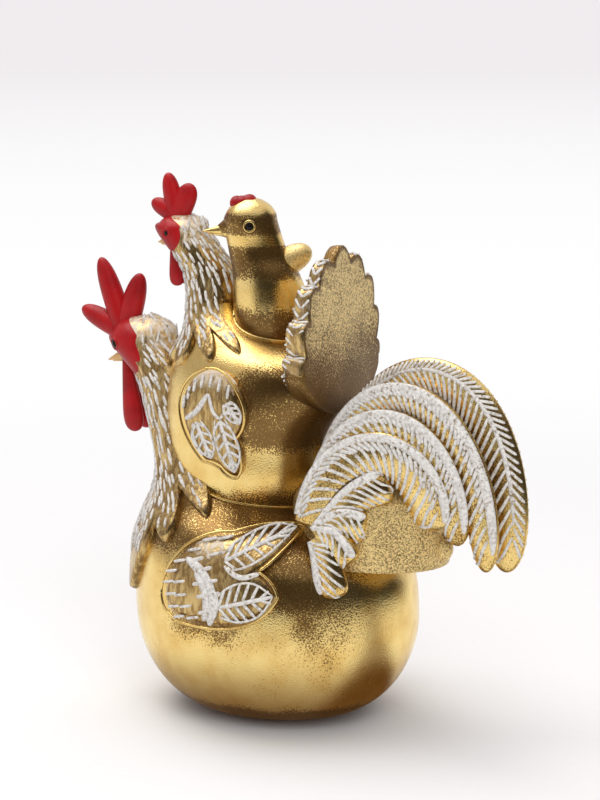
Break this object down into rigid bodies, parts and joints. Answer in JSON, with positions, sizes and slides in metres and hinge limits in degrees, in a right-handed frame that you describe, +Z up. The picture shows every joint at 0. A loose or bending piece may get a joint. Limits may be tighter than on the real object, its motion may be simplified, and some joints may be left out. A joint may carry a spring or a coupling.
{
  "type": "chicken family figurine",
  "caption": "Gilded resin ornament of stacked chickens: a round rooster with a bowed plume tail carries a hen with a fanned tail, and the hen carries a chick.",
  "frame": {"origin": "centre of the underside of the felt pad, on the surface that the figurine stands on", "axes": "+Z up, -X is the way the birds face, +Y is their right side"},
  "size_m": [0.1906, 0.101, 0.1998],
  "materials": {
    "gilt_resin": "gold leaf on cast resin, satin, with white and brown antique wash",
    "red_enamel": "red paint, semi-gloss",
    "ochre_paint": "ochre paint, satin",
    "eye_glass": "black glass bead, glossy",
    "felt": "thin felt",
    "plug_plastic": "plain moulded plug"
  },
  "bodies": {
    "root": {"felt_pad": "felt", "base_plug": "plug_plastic", "rooster_body": "gilt_resin", "rooster_tail": "gilt_resin", "rooster_wing_left": "gilt_resin", "rooster_wing_right": "gilt_resin", "rooster_comb": "red_enamel", "rooster_wattle_left": "red_enamel", "rooster_wattle_right": "red_enamel", "rooster_beak": "ochre_paint", "rooster_eye_left": "eye_glass", "rooster_eye_right": "eye_glass", "hen_body": "gilt_resin", "hen_tail": "gilt_resin", "hen_wing_left": "gilt_resin", "hen_wing_right": "gilt_resin", "hen_comb": "red_enamel", "hen_wattle_left": "red_enamel", "hen_wattle_right": "red_enamel", "hen_beak": "ochre_paint", "hen_eye_left": "eye_glass", "hen_eye_right": "eye_glass", "chick_body": "gilt_resin", "chick_beak": "gilt_resin", "chick_crest": "red_enamel", "chick_eye_left": "eye_glass", "chick_eye_right": "eye_glass"}
  },
  "joints": []
}
